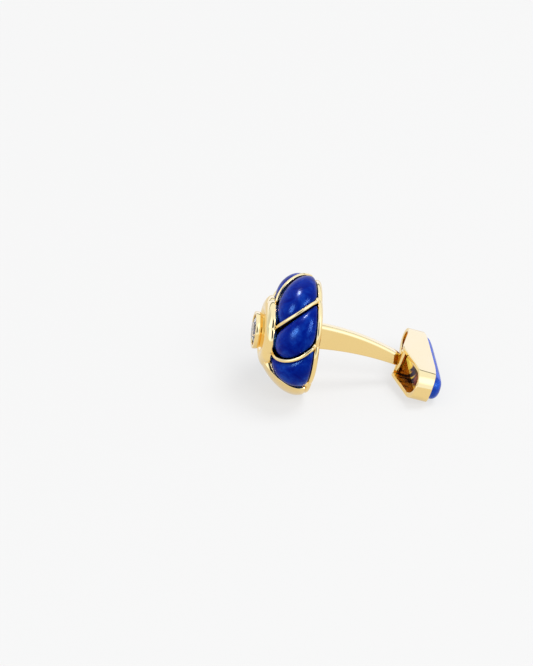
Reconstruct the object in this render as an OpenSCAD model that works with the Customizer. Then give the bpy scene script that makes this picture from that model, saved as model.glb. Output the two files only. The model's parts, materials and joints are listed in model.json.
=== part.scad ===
// Cufflink with a round twisted shell head and a swivelling bar toggle, in millimetres.
// The head's axis runs along +X, towards the toggle, and the cufflink lies on the plane z = 0:
// on the lower lobes of its head and on the lower edge of its toggle.

/* [Head] */
// Radius of the circle in the profile's plane that the stone lobes swell around
lobe_ring_r = 5.0; // [4.9:0.05:5.1]
// Height of that circle in front of the back of the plate
lobe_ring_z = 2.25; // [2.2:0.05:2.3]
// Swell of a stone lobe outwards from the ring, at its crest
lobe_out = 4.75; // [4.6:0.05:4.9]
// Swell of a stone lobe forwards from the ring, at its crest
lobe_fwd = 4.25; // [4.1:0.05:4.4]
// Share of that swell left at a lobe's edges
lobe_edge = 0.83; // [0.8:0.01:0.86]
// Turn of the lobes from the plate to the collar, in degrees
twist_turn = 28.7; // [24:0.1:32]
// Share of that turn that is taken early, near the plate
twist_lead = 0.54; // [0.3:0.02:0.7]

/* [Wires] */
// Diameter of the round wires between the stones
wire_d = 0.5; // [0.4:0.02:0.54]
// Swell of the wires' centre line outwards from the ring
wire_out = 4.3; // [4.2:0.05:4.4]
// Swell of the wires' centre line forwards from the ring
wire_fwd = 4.2; // [4.1:0.05:4.2]

/* [Collar and setting] */
// Radius of the collar's round bar
collar_bar_r = 1.2; // [1.1:0.05:1.2]
// Radius of the ring that the collar's bar follows
collar_ring_r = 3.85; // [3.8:0.05:3.9]
// Height of the collar's ring in front of the plate's back
collar_z = 6.95; // [6.9:0.05:7]
// Outer radius of the diamond's setting
setting_r = 2.9; // [2.8:0.05:3]
// Height of the setting's rim in front of the plate's back
setting_z = 9.36; // [9.2:0.02:9.5]
// Diameter of the diamond across its girdle
diamond_d = 4.7; // [4.5:0.05:4.9]

/* [Back plate and post] */
// Radius of the plate at the crest of its scallops
plate_r = 8.95; // [8.8:0.05:9]
// Radius of one scallop of the plate's outline
scallop_r = 5.6; // [5.4:0.1:5.8]
// Thickness of the plate
plate_t = 0.92; // [0.8:0.02:0.94]
// Thickness of the post across its flat sides
post_t = 1.75; // [1.65:0.05:1.75]
// Height of the post's upper edge above the head's axis at the plate
post_top = 2.25; // [2.1:0.05:2.25]
// Depth of the post's lower edge below the head's axis at the plate
post_foot = 2.01; // [1.8:0.01:2.1]
// Radius of the barrel at the post's end
barrel_r = 1.2; // [1.1:0.05:1.25]
// Radius of the hinge pin
pin_r = 0.4; // [0.35:0.01:0.42]

/* [Toggle] */
// Length of the toggle from round end to round end
toggle_l = 17.25; // [16.8:0.1:17.6]
// Height of the toggle across its flat walls
toggle_h = 4.96; // [4.8:0.02:5]
// Thickness of the toggle's walls
toggle_wall = 0.47; // [0.44:0.01:0.48]
// Depth of the toggle at the peaks of its flat walls
peak_depth = 5; // [4.8:0.1:5.2]
// Depth of the toggle at its round ends
end_depth = 3.05; // [2.9:0.05:3.1]
// Rise of the toggle's stone out of its frame
stone_rise = 1.3; // [1.1:0.1:1.5]

/* [Pose at rest] */
// Tilt of the head's axis below the horizontal, in degrees
head_tilt = 9.57; // [9.2:0.01:9.8]
// Further tilt of the toggle, in degrees
toggle_tilt = 9.7; // [9:0.1:10]
// Height of the plate's centre above the surface it lies on
rest_z = 8.94; // [8.9:0.01:9]
// Way from the cufflink's middle to the plate's centre, along X
plate_x = -4.87; // [-5.4:0.01:-4.6]
// Way from the cufflink's middle to the head's axis, along Y
axis_y = -0.04; // [-0.3:0.01:0.3]

/* [Hidden] */

gold = "goldenrod";
lapis = "mediumblue";
smooth = 96;                        // facets that stand for a full circle
gap = 0.03;                         // play between pieces that are set against each other

// Seven sectors: their borders at the plate, from the gold lobe's upper border round the head.
// The head is twisted by hand, so the borders aren't quite evenly spread.
sector_border = [-35, 16.5, 63.4, 121.5, 170, 220.5, 271.5];
scallops = 7;
scallop_first = -9;                 // angle of the crest of the first scallop
plate_angle = -19;                  // profile angle where a border meets the plate
collar_angle = 90;                  // profile angle where it meets the collar
gold_border_turn = 3;               // turn of the gold lobe's upper border from plate to collar

core_r = 2.3;                       // bar of the hollow ring under the stones
core_wall = 0.65;
neck_r = 4.75;                      // neck that carries the collar
bore_r = 1.6;                       // opening behind the diamond
seat_z = 8.5;                       // height of the diamond's seat
groove_z = 7.4;                     // bottom of the groove between collar and setting
foot_share = 0.85;                  // width of the ring's flat foot, as a share of the bar
seat_drop = 0.75;                   // how far the seat's cone runs down to the opening
groove_w = 0.35;                    // width of that groove at its mouth
groove_h = 1;
setting_lip = 0.18;                 // rounding of the setting's rim
stone_gap = 0.06;                   // play between a stone and the metal that holds it
stone_angles = [-22, 88];           // profile angles of a stone's two ends
crest_flat = [2.4, 5];              // flatness of a stone's crest, across and along its sector
crest_round = [0.8, 0.5];           // roundness of its shoulders, across and along
wire_shape = 1.07;                  // above 1, a wire's curve is a little fuller than an ellipse's
wire_ends = [-15.5, 87];            // profile angles of a wire's two ends
web_half = 0.15;                    // half the thickness of the web that carries a wire
web_angles = [-40, 220];            // where the wire's round leaves the web, on both sides
web_step = 32.5;

// The diamond, cut as a brilliant
girdle_lift = 0.08;                 // height of the girdle over the seat
girdle_t = 0.12;
pavilion = 0.43;                    // depth below the girdle, as a share of the diameter
crown = 0.7;
table = 0.55;                       // width of its table, as a share of the girdle's

// The post's edges are arcs that fall towards the toggle. A slope is the fall at the plate.
post_top_arc = 38;
post_foot_arc = 45;
post_top_slope = 0.075;
post_foot_slope = -0.0445;          // it rises a little at first, so that a cuff lies flat on the plate
post_edge_r = 0.55;                 // rounding of its long edges
post_depth = 8;                     // radial depth that both arcs are made from
arc_angles = [60, 96];              // the part of each arc that is made, before it is cut to length
arc_smooth = 720;

// Where the toggle's wall peaks stand from the plate's back, along and across the head's axis
toggle_along = 13.8;
toggle_across = -2.69;
pivot_in = 0.75;                    // way from the peaks to the pin's axis
barrel_play = 0.06;                 // between the barrel's ends and the toggle's walls
barrel_half = toggle_h / 2 - toggle_wall - barrel_play;
running_play = 0.04;                // between the pin and the barrel's bore
fixed_play = 0.015;                 // between the pin and the toggle's walls
toggle_flat = (toggle_l - toggle_h) / 2;
floor_in = 3.15;                    // way from the peaks to the toggle's floor
floor_t = 0.55;
stone_round = 1.15;                 // rounding of the toggle stone's upper edges
peak_flat = 0.25;                   // half the width of a wall's blunt peak

lobe_rows = 15;
lobe_cols = 13;
wire_rows = 17;

// Profile and sectors

function power(x, p) = sign(x) * pow(abs(x), p);
function polar(r, angle, z) = [r * cos(angle), r * sin(angle), z];
function bunch(i, n) = sin(90 * (2 * i / (n - 1) - 1));   // -1 to 1, closer near both ends
function twist(phi) =
    let (t = (phi - plate_angle) / (collar_angle - plate_angle))
    twist_turn * t * (1 + twist_lead * (1 - t));
function border(i, phi) = i == 0
    ? sector_border[0] - gold_border_turn * (phi - plate_angle) / (collar_angle - plate_angle)
    : sector_border[i] - twist(phi);

// Faces of a closed solid between an outer and an inner sheet of rows by cols points each
function sheet_faces(rows, cols) =
    let (inner = rows * cols, last_row = (rows - 1) * cols, last_col = cols - 1)
    concat(
        [for (i = [0 : rows - 2], j = [0 : cols - 2])
            let (a = i * cols + j) each [[a, a + cols, a + 1], [a + 1, a + cols, a + cols + 1]]],
        [for (i = [0 : rows - 2], j = [0 : cols - 2])
            let (a = inner + i * cols + j) each [[a, a + 1, a + cols], [a + 1, a + cols + 1, a + cols]]],
        [for (j = [0 : cols - 2]) each [[j, j + 1, inner + j], [j + 1, inner + j + 1, inner + j]]],
        [for (j = [0 : cols - 2])
            let (a = last_row + j) each [[a, inner + a, a + 1], [a + 1, inner + a, inner + a + 1]]],
        [for (i = [0 : rows - 2])
            let (a = i * cols) each [[a, inner + a, a + cols], [a + cols, inner + a, inner + a + cols]]],
        [for (i = [0 : rows - 2])
            let (a = i * cols + last_col)
            each [[a, a + cols, inner + a], [a + cols, inner + a + cols, inner + a]]]);

// Swell of a stone across (u) and along (w) its sector, from 1 at the crest to lobe_edge at its rim
function pillow(u, w) =
    lobe_edge + (1 - lobe_edge) * pow(1 - pow(abs(u), crest_flat[0]), crest_round[0])
    * pow(1 - pow(abs(w), crest_flat[1]), crest_round[1]);

// The play beside a wire, in degrees: wider where the wire runs at a slant round the head
function slant(r, phi) = norm([1, r / lobe_fwd * (twist(phi + 0.5) - twist(phi - 0.5))]);

function stone_point(i, phi, u, out, fwd, side) =
    let (r = lobe_ring_r + out * cos(phi), z = lobe_ring_z + fwd * sin(phi),
         crest_r = lobe_ring_r + lobe_out * cos(phi),
         play = side * slant(crest_r, phi) * 180 / (PI * crest_r),
         low = border(i, phi) + play, high = border(i + 1, phi) - play)
    polar(r, low + (high - low) * (u + 1) / 2, z);

module stone_lobe(i) {
    side = wire_d / 2 + stone_gap;
    seat = core_r + stone_gap;
    phis = [for (k = [0 : lobe_rows - 1])
        let (w = bunch(k, lobe_rows))
        [w, stone_angles[0] + (stone_angles[1] - stone_angles[0]) * (w + 1) / 2]];
    outer = [for (p = phis, j = [0 : lobe_cols - 1])
        let (u = bunch(j, lobe_cols), k = pillow(u, p[0]))
        stone_point(i, p[1], u, lobe_out * k, lobe_fwd * k, side)];
    inner = [for (p = phis, j = [0 : lobe_cols - 1])
        stone_point(i, p[1], bunch(j, lobe_cols), seat, seat, side)];
    polyhedron(concat(outer, inner), sheet_faces(lobe_rows, lobe_cols), convexity = 6);
}

// A wire is the round top of a rib that stands on the core between two stones.

function wire_centre(i, phi) =
    polar(lobe_ring_r + wire_out * power(cos(phi), wire_shape), border(i, phi),
          lobe_ring_z + wire_fwd * power(sin(phi), wire_shape));
function unit(v) = v / norm(v);

module rib(i) {
    bulge = [for (a = [web_angles[0] : web_step : web_angles[1]]) wire_d / 2 * [cos(a), sin(a)]];
    count = len(bulge) + 2;
    rings = [for (k = [0 : wire_rows - 1])
        let (phi = wire_ends[0] + (wire_ends[1] - wire_ends[0]) * k / (wire_rows - 1),
             c = wire_centre(i, phi),
             ring = polar(lobe_ring_r, border(i, phi), lobe_ring_z),
             out = unit(c - ring),
             run = unit(wire_centre(i, phi + 0.5) - wire_centre(i, phi - 0.5)),
             across = unit(cross(run, out)),
             foot = norm(c - ring) - core_r - gap)
        each concat([for (b = bulge) c + b[0] * across + b[1] * out],
                    [c - web_half * across - foot * out, c + web_half * across - foot * out])];
    skin = [for (k = [0 : wire_rows - 2], j = [0 : count - 1])
        let (a = k * count + j, b = k * count + (j + 1) % count)
        each [[a, b, a + count], [b, b + count, a + count]]];
    start = [for (j = [count - 1 : -1 : 0]) j];
    end = [for (j = [0 : count - 1]) (wire_rows - 1) * count + j];
    polyhedron(rings, concat(skin, [start, end]), convexity = 6);
}

// The gold lobe leaves the collar smoothly and falls to the plate: four control points, as [r, z].
gold_profile = [[9.28, plate_t + gap], [10.08, 3.3], [7.6, 6.2], [4.62, 8.02]];
gold_drop = 0.12;                   // how much lower its side edges are
gold_side = 0.05;                   // play beside it
gold_back = 0.11;                   // play between its back and the frame
core_steps = [-20, 0, 22, 45, 68, 90];
collar_steps = [-22, -4, 14, 32, 50];

function gold_curve(t) =
    pow(1 - t, 3) * gold_profile[0] + 3 * pow(1 - t, 2) * t * gold_profile[1]
    + 3 * (1 - t) * t * t * gold_profile[2] + pow(t, 3) * gold_profile[3];
function ring_point(r, z, bar, angle) = [r + bar * cos(angle), z + bar * sin(angle)];

function gold_point(p, phi, u) =
    let (play = gold_side * 180 / (PI * p[0]),
         low = border(6, phi) - 360 + play, high = border(0, phi) - play)
    polar(p[0], low + (high - low) * (u + 1) / 2, p[1]);

module gold_lobe_solid() {
    inner_path = concat(
        [for (a = core_steps) ring_point(lobe_ring_r, lobe_ring_z, core_r + gold_back, a)],
        [for (a = collar_steps) ring_point(collar_ring_r, collar_z, collar_bar_r + gold_back, a)]);
    rows = len(inner_path);
    outer_path = [for (k = [0 : rows - 1]) gold_curve(k / (rows - 1))];
    phis = [for (p = outer_path) min(collar_angle, atan2(p[1] - lobe_ring_z, p[0] - lobe_ring_r))];
    outer = [for (k = [0 : rows - 1], j = [0 : lobe_cols - 1])
        let (u = bunch(j, lobe_cols), in = unit(inner_path[k] - outer_path[k]),
             room = norm(inner_path[k] - outer_path[k]) / 3)
        gold_point(outer_path[k] + in * min(gold_drop, room) * pow(abs(u), 3), phis[k], u)];
    inner = [for (k = [0 : rows - 1], j = [0 : lobe_cols - 1])
        gold_point(inner_path[k], phis[k], bunch(j, lobe_cols))];
    polyhedron(concat(outer, inner), sheet_faces(rows, lobe_cols), convexity = 6);
}

// Half section of the frame under the stones: a hollow ring, its neck, the collar and the setting
module frame_section() {
    back = plate_t + gap;
    difference() {
        union() {
            intersection() {
                translate([lobe_ring_r, lobe_ring_z]) circle(core_r, $fn = smooth);
                translate([0, back]) square([lobe_ring_r + core_r, lobe_ring_z + core_r]);
            }
            translate([0, back]) square([lobe_ring_r, lobe_ring_z + core_r - back]);
            translate([lobe_ring_r, back]) square([core_r * foot_share, lobe_ring_z - back]);
            square([neck_r, collar_z]);
            translate([collar_ring_r, collar_z]) circle(collar_bar_r, $fn = smooth);
            square([setting_r, setting_z - setting_lip]);
            translate([setting_r - setting_lip, setting_z - setting_lip])
                circle(setting_lip, $fn = smooth);
            square([setting_r - setting_lip, setting_z]);
        }
        frame_hollow();
        translate([setting_r, groove_z]) polygon([[0, 0], [0, groove_h], [groove_w, groove_h]]);
        square([lobe_ring_r + core_r, back]);
    }
}

module frame_hollow() {
    hollow_r = core_r - core_wall;
    translate([lobe_ring_r, lobe_ring_z]) circle(hollow_r, $fn = smooth);
    square([lobe_ring_r, lobe_ring_z + hollow_r]);
    square([lobe_ring_r + hollow_r, lobe_ring_z]);
    square([neck_r - core_wall, collar_z - collar_bar_r]);
    square([bore_r, setting_z + 1]);
    polygon([[0, seat_z - diamond_d / 2], [0, setting_z + 1], [diamond_d / 2 + gap, setting_z + 1],
             [diamond_d / 2 + gap, seat_z], [bore_r, seat_z - seat_drop]]);
}

// A brilliant in half section: culet, girdle, crown and table
module diamond_section() {
    girdle_z = seat_z + girdle_lift;
    radius = diamond_d / 2;
    polygon([[0, girdle_z - pavilion * diamond_d], [radius, girdle_z], [radius, girdle_z + girdle_t],
             [table * radius, girdle_z + crown], [0, girdle_z + crown]]);
}

// Plate: one scallop of its outline behind each sector

module plate() {
    linear_extrude(plate_t)
        for (k = [0 : scallops - 1])
            rotate(scallop_first + 360 * k / scallops)
                translate([plate_r - scallop_r, 0]) circle(scallop_r, $fn = smooth);
}

// A bar bent along an arc of the given radius, whose edges on one side are round

module arc_bar(arc, outward) {
    from = outward ? arc - post_depth : arc;
    rounded = outward ? post_depth - post_edge_r : post_edge_r;
    half = post_t / 2;
    rotate([90, 0, 0]) rotate(arc_angles[0])
    rotate_extrude(angle = arc_angles[1] - arc_angles[0], $fn = arc_smooth) {
        translate([from + (outward ? 0 : post_edge_r), -half])
            square([post_depth - post_edge_r, post_t]);
        translate([from, -half + post_edge_r]) square([post_depth, post_t - 2 * post_edge_r]);
        for (side = [-1, 1])
            translate([from + rounded, side * (half - post_edge_r)]) circle(post_edge_r, $fn = 32);
    }
}

function arc_centre(arc, slope, height) =
    [-arc * sin(atan(slope)), 0, height - arc * cos(atan(slope))];

module post() {
    reach = toggle_along + pivot_in;
    intersection() {
        translate(arc_centre(post_top_arc, post_top_slope, post_top)) arc_bar(post_top_arc, true);
        translate(arc_centre(post_foot_arc, post_foot_slope, -post_foot)) arc_bar(post_foot_arc, false);
        translate([-plate_t / 2, -post_t, -post_depth]) cube([reach, 2 * post_t, 2 * post_depth]);
    }
}

// Placing of the head, and of the toggle with its origin between its wall peaks

module in_head_pose() {
    translate([plate_x, axis_y, rest_z]) rotate([0, head_tilt, 0]) children();
}

module front_up() {
    in_head_pose() rotate([90, 0, -90]) children();
}

module in_toggle_pose() {
    translate([toggle_along, 0, toggle_across]) rotate([0, toggle_tilt, 0]) children();
}

module racetrack(inset) {
    for (side = [-1, 1])
        translate([0, side * toggle_flat]) circle(toggle_h / 2 - inset, $fn = smooth);
    square([toggle_h - 2 * inset, 2 * toggle_flat], center = true);
}

// Stands a racetrack up: its long side along Y, extruded along X
module standing(from, to) {
    translate([from, 0, 0]) rotate([0, 90, 0]) linear_extrude(to - from) children();
}

// Side outline of the toggle: wall peaks in the middle, shallower round ends
module peaked_outline() {
    end_in = peak_depth - end_depth;
    linear_extrude(toggle_h + 2, center = true)
        polygon([[0, -peak_flat], [0, peak_flat], [end_in, toggle_flat], [end_in, toggle_l],
                 [peak_depth, toggle_l], [peak_depth, -toggle_l], [end_in, -toggle_l],
                 [end_in, -toggle_flat]]);
}

module toggle_band() {
    intersection() {
        difference() {
            standing(-1, peak_depth + 1) racetrack(0);
            standing(-2, floor_in) racetrack(toggle_wall);
            standing(floor_in + floor_t, peak_depth + 2) racetrack(toggle_wall);
        }
        peaked_outline();
    }
}

// Half of the toggle stone's cross-section: x across, y outwards
module stone_section() {
    half = toggle_h / 2 - toggle_wall - stone_gap;
    rise = peak_depth + stone_rise - floor_in - floor_t - gap;
    square([half, rise - stone_round]);
    square([half - stone_round, rise]);
    translate([half - stone_round, rise - stone_round]) intersection() {
        circle(stone_round, $fn = 64);
        square(stone_round);
    }
}

module toggle_stone_solid() {
    translate([floor_in + floor_t + gap, 0, 0]) rotate([0, 90, 0]) {
        for (side = [-1, 1])
            translate([0, side * toggle_flat, 0]) rotate_extrude($fn = smooth) stone_section();
        rotate([90, 0, 0]) linear_extrude(2 * toggle_flat, center = true) {
            stone_section();
            mirror([1, 0]) stone_section();
        }
    }
}

module plate_and_post() {
    color(gold) difference() {
        union() {
            front_up() plate();
            in_head_pose() post();
            in_head_pose() in_toggle_pose()
                translate([pivot_in, 0, 0])
                    cylinder(h = 2 * barrel_half, r = barrel_r, center = true, $fn = smooth);
        }
        in_head_pose() in_toggle_pose()
            translate([pivot_in, 0, 0])
                cylinder(h = toggle_h, r = pin_r + running_play, center = true, $fn = smooth);
    }
}

module shell_frame() {
    color(gold) front_up() rotate_extrude($fn = smooth) frame_section();
}

module gold_lobe() {
    color(gold) front_up() gold_lobe_solid();
}

module lapis_lobe(i) {
    color(lapis) front_up() stone_lobe(i);
}

module wire(i) {
    color(gold) front_up() rib(i);
}

module diamond() {
    color("white") front_up() rotate_extrude($fn = smooth) diamond_section();
}

module toggle_frame() {
    color(gold) in_head_pose() in_toggle_pose() difference() {
        toggle_band();
        translate([pivot_in, 0, 0])
            cylinder(h = toggle_h + 1, r = pin_r + fixed_play, center = true, $fn = smooth);
    }
}

module toggle_stone() {
    color(lapis) in_head_pose() in_toggle_pose() toggle_stone_solid();
}

module hinge_pin() {
    color(gold) in_head_pose() in_toggle_pose()
        translate([pivot_in, 0, 0])
            cylinder(h = toggle_h - gap, r = pin_r, center = true, $fn = smooth);
}

plate_and_post();
shell_frame();
gold_lobe();
lapis_lobe(0);  // lapis_1
lapis_lobe(1);  // lapis_2
lapis_lobe(2);  // lapis_3
lapis_lobe(3);  // lapis_4
lapis_lobe(4);  // lapis_5
lapis_lobe(5);  // lapis_6
wire(1);  // wire_1
wire(2);  // wire_2
wire(3);  // wire_3
wire(4);  // wire_4
wire(5);  // wire_5
diamond();
toggle_frame();
toggle_stone();
hinge_pin();
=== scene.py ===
import json
import math

import bmesh
import bpy
import numpy as np
from bpy.props import FloatProperty, FloatVectorProperty, IntProperty, PointerProperty
from mathutils import Matrix, Vector

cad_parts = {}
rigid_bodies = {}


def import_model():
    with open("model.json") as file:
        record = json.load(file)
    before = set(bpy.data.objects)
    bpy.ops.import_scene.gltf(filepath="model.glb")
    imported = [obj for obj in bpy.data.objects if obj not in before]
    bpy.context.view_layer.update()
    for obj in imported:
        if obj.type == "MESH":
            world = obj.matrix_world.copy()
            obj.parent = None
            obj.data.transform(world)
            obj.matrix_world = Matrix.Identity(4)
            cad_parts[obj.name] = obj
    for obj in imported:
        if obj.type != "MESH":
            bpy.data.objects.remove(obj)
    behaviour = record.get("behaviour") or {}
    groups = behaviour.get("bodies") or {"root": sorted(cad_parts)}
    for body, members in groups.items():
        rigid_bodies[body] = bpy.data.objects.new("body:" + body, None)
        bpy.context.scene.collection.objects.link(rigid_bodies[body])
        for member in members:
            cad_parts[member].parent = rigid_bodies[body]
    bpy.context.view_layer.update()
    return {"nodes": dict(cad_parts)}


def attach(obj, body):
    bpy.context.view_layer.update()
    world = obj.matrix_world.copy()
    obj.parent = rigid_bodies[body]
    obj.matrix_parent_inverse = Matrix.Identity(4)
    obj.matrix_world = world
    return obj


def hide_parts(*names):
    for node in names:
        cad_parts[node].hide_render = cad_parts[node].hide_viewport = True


bl_info = {
    "name": "Shell Cufflink",
    "version": (1, 0, 0),
    "blender": (4, 5, 0),
    "location": "3D View > Sidebar > Cufflink",
    "description": "Builds a cufflink's twisted shell head, its post and its swivelling toggle round their solids",
    "category": "Add Mesh",
}

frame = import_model()

# All shapes are worked out in millimetres and degrees, and follow the solids within a fraction of a millimetre
MM = 0.001
HEAD, TOGGLE = "head", "toggle"

# The head and the toggle are tilted down towards +X. The head's axes start in the middle of the plate's back, and
# the toggle's between the peaks of its walls. The pin lies a little deeper in the toggle.
HEAD_TILT = 9.57
TOGGLE_TILT = 9.7
PLATE_MIDDLE = np.array([-4.87, -0.04, 8.94])
TOGGLE_ALONG, TOGGLE_ACROSS = 13.8, -2.69
PIN_DEPTH = 0.75

# Seven sectors: the angles of their borders at the plate, round the head from the near side, upwards
SECTORS = 7
SECTOR_BORDERS = [-35, 16.5, 63.4, 121.5, 170, 220.5, 271.5]
# Angles of the profile, where 0 is outwards and 90 is forwards: of plate and collar, and where stones and wires run
PLATE_ANGLE, COLLAR_ANGLE = -19.0, 90.0
STONE_ANGLES = (-22.0, 90.0)
WIRE_ANGLES = (-15.5, 87.0)
# The gold lobe's near border turns by this on its way to the collar, and its hidden foot is this much wider there
GOLD_BORDER_TURN = 3.0
GOLD_FOOT = 9.0
# Gap behind a stone, and the share of its play that the first stone keeps towards the gold lobe
BED_GAP = 0.06
FIRST_STONE_PLAY = 0.4

# The hollow ring under the stones, the collar's round bar, and the setting
CORE_R = 2.3
COLLAR_RING = (3.85, 6.95)
COLLAR_BAR_R = 1.2
SETTING_R, SETTING_Z, SETTING_LIP, SEAT_Z = 2.9, 9.36, 0.18, 8.5

# The plate's scallops: where the first one points, and the radius of each
SCALLOP_FIRST, SCALLOP_R = -9.0, 5.6


def axes(tilt):
    """The unit vectors along and up, of a frame that is tilted down towards +X by that many degrees."""
    t = math.radians(tilt)
    return np.array([math.cos(t), 0, -math.sin(t)]), np.array([math.sin(t), 0, math.cos(t)])


ALONG, UP = axes(HEAD_TILT)
SIDE = np.array([0.0, 1.0, 0.0])
TOGGLE_OUT, TOGGLE_UP = axes(HEAD_TILT + TOGGLE_TILT)
TOGGLE_MIDDLE = PLATE_MIDDLE + ALONG * TOGGLE_ALONG + UP * TOGGLE_ACROSS


def from_front(points):
    """Points of the head seen from its front (x near, y up, z to the front), as places in metres."""
    p = np.asarray(points, float)
    return (PLATE_MIDDLE - p[..., 2:3] * ALONG - p[..., 0:1] * SIDE + p[..., 1:2] * UP) * MM


def front_height(place):
    """Height over the plate's back, towards the head's front, of a place in metres."""
    return float(-(np.array(place) / MM - PLATE_MIDDLE) @ ALONG)


def from_head(points):
    """Points as (along the axis, to the side, up), from the middle of the plate's back."""
    p = np.asarray(points, float)
    return (PLATE_MIDDLE + p[..., 0:1] * ALONG + p[..., 1:2] * SIDE + p[..., 2:3] * UP) * MM


def from_toggle(points):
    """Points as (outwards, to the side, up), from between the peaks of the toggle's walls."""
    p = np.asarray(points, float)
    return (TOGGLE_MIDDLE + p[..., 0:1] * TOGGLE_OUT + p[..., 1:2] * SIDE + p[..., 2:3] * TOGGLE_UP) * MM


def in_toggle(place):
    """The other way round: a place in metres as (outwards, to the side, up) in the toggle."""
    p = np.array(place) / MM - TOGGLE_MIDDLE
    return p @ TOGGLE_OUT, p @ SIDE, p @ TOGGLE_UP


# Meshes from rows of points


def grid_faces(rows, cols, start=0, flip=False, round_rows=False, round_cols=False):
    """Four-sided faces of a grid of points, as an array of corner numbers."""
    i = np.arange(rows if round_rows else rows - 1)
    j = np.arange(cols if round_cols else cols - 1)
    i, j = np.meshgrid(i, j, indexing="ij")
    i2, j2 = (i + 1) % rows, (j + 1) % cols
    faces = np.stack([i * cols + j, i2 * cols + j, i2 * cols + j2, i * cols + j2], -1).reshape(-1, 4) + start
    return faces[:, ::-1] if flip else faces


class Shape:
    """Points and faces that are gathered into one mesh."""

    def __init__(self):
        self.points, self.faces, self.count = [], [], 0

    def add(self, points, faces):
        """Adds points, and faces as lists of their numbers."""
        points = np.asarray(points, float).reshape(-1, 3)
        self.faces.extend([[int(c) + self.count for c in f] for f in faces])
        self.points.append(points)
        self.count += len(points)

    def rings(self, rings):
        """A closed skin through rings of points, with flat ends."""
        n, m = rings.shape[:2]
        faces = [list(f) for f in grid_faces(n, m, round_cols=True)]
        faces += [list(range(m)), list(range((n - 1) * m, n * m))[::-1]]
        self.add(rings, faces)

    def band(self, rings):
        """A skin that closes on itself both ways."""
        self.add(rings, grid_faces(*rings.shape[:2], round_rows=True, round_cols=True))

    def plate_between(self, outer, inner):
        """A closed solid between two grids of the same size, joined along their four edges."""
        n, m = outer.shape[:2]
        low = n * m
        faces = [list(f) for f in grid_faces(n, m)]
        faces += [list(f) for f in grid_faces(n, m, start=low, flip=True)]
        for a in range(m - 1):
            b = (n - 1) * m + a
            faces.append([a, a + 1, low + a + 1, low + a])
            faces.append([b + 1, b, low + b, low + b + 1])
        for a in range(0, (n - 1) * m, m):
            b = a + m - 1
            faces.append([a + m, a, low + a, low + a + m])
            faces.append([b, b + m, low + b + m, low + b])
        self.add(np.concatenate([outer.reshape(-1, 3), inner.reshape(-1, 3)]), faces)


def make_piece(name, shape, materials, body, nodes, crease=32, finish=None):
    """One object from a shape, riding on a body, in place of its solids. Edges sharper than the crease stay sharp,
    and finish(face) gives the number of a face's material."""
    mesh = bpy.data.meshes.new(name)
    mesh.from_pydata([tuple(p) for p in np.concatenate(shape.points)], [], shape.faces)
    mesh.validate()
    bm = bmesh.new()
    bm.from_mesh(mesh)
    bmesh.ops.recalc_face_normals(bm, faces=bm.faces)
    bm.to_mesh(mesh)
    bm.free()
    mesh.shade_smooth()
    mesh.set_sharp_from_angle(angle=math.radians(crease))
    for material in materials:
        mesh.materials.append(material)
    if finish:
        for face in mesh.polygons:
            face.material_index = int(finish(face))
    piece = bpy.data.objects.new(name, mesh)
    bpy.context.scene.collection.objects.link(piece)
    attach(piece, body)
    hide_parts(*nodes)


def arc_at(middle, radius, degrees):
    """Points of an arc in a plane, at given angles."""
    a = np.radians(degrees)
    return np.stack([middle[0] + radius * np.cos(a), middle[1] + radius * np.sin(a)], -1)


def arc(middle, radius, first, last, count):
    """Points of an arc in a plane, in even steps."""
    return arc_at(middle, radius, np.linspace(first, last, count))


def on_circle(r, degrees, z):
    """Points at a distance and an angle round the head's axis, and at a height."""
    a = np.radians(degrees)
    x = r * np.cos(a)
    return np.stack([x, r * np.sin(a), np.broadcast_to(z, np.shape(x))], -1)


def unit(v):
    """Vectors, each made one long."""
    return v / np.linalg.norm(v, axis=-1, keepdims=True)


def bunched(count):
    """Steps from -1 to 1 that are closer near both ends."""
    return np.sin(np.linspace(-math.pi / 2, math.pi / 2, count))


# The sectors of the twisted shell


def way_up(phi):
    """Share of the way from the plate to the collar, at an angle of the profile."""
    return (phi - PLATE_ANGLE) / (COLLAR_ANGLE - PLATE_ANGLE)


def twist(phi, sizes):
    """Turn of a border since the plate, in degrees."""
    t = way_up(phi)
    return math.degrees(sizes.twist) * t * (1 + sizes.twist_lead * (1 - t))


def border(i, phi, sizes):
    """Angle round the head of a border between two sectors, at an angle of the profile."""
    if i == 0:
        return SECTOR_BORDERS[0] - GOLD_BORDER_TURN * way_up(phi)
    return SECTOR_BORDERS[i] - twist(phi, sizes)


def pillow(u, w, edge):
    """Share of the swell across (u) and along (w) a stone: it falls to the plate, and stays high at the collar."""
    along = np.where(w < 0, (1 - np.abs(w) ** 5) ** 0.5, 1 - 0.1 * np.abs(w) ** 8)
    return edge + (1 - edge) * (1 - np.abs(u) ** 2.4) ** 0.8 * along


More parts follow.
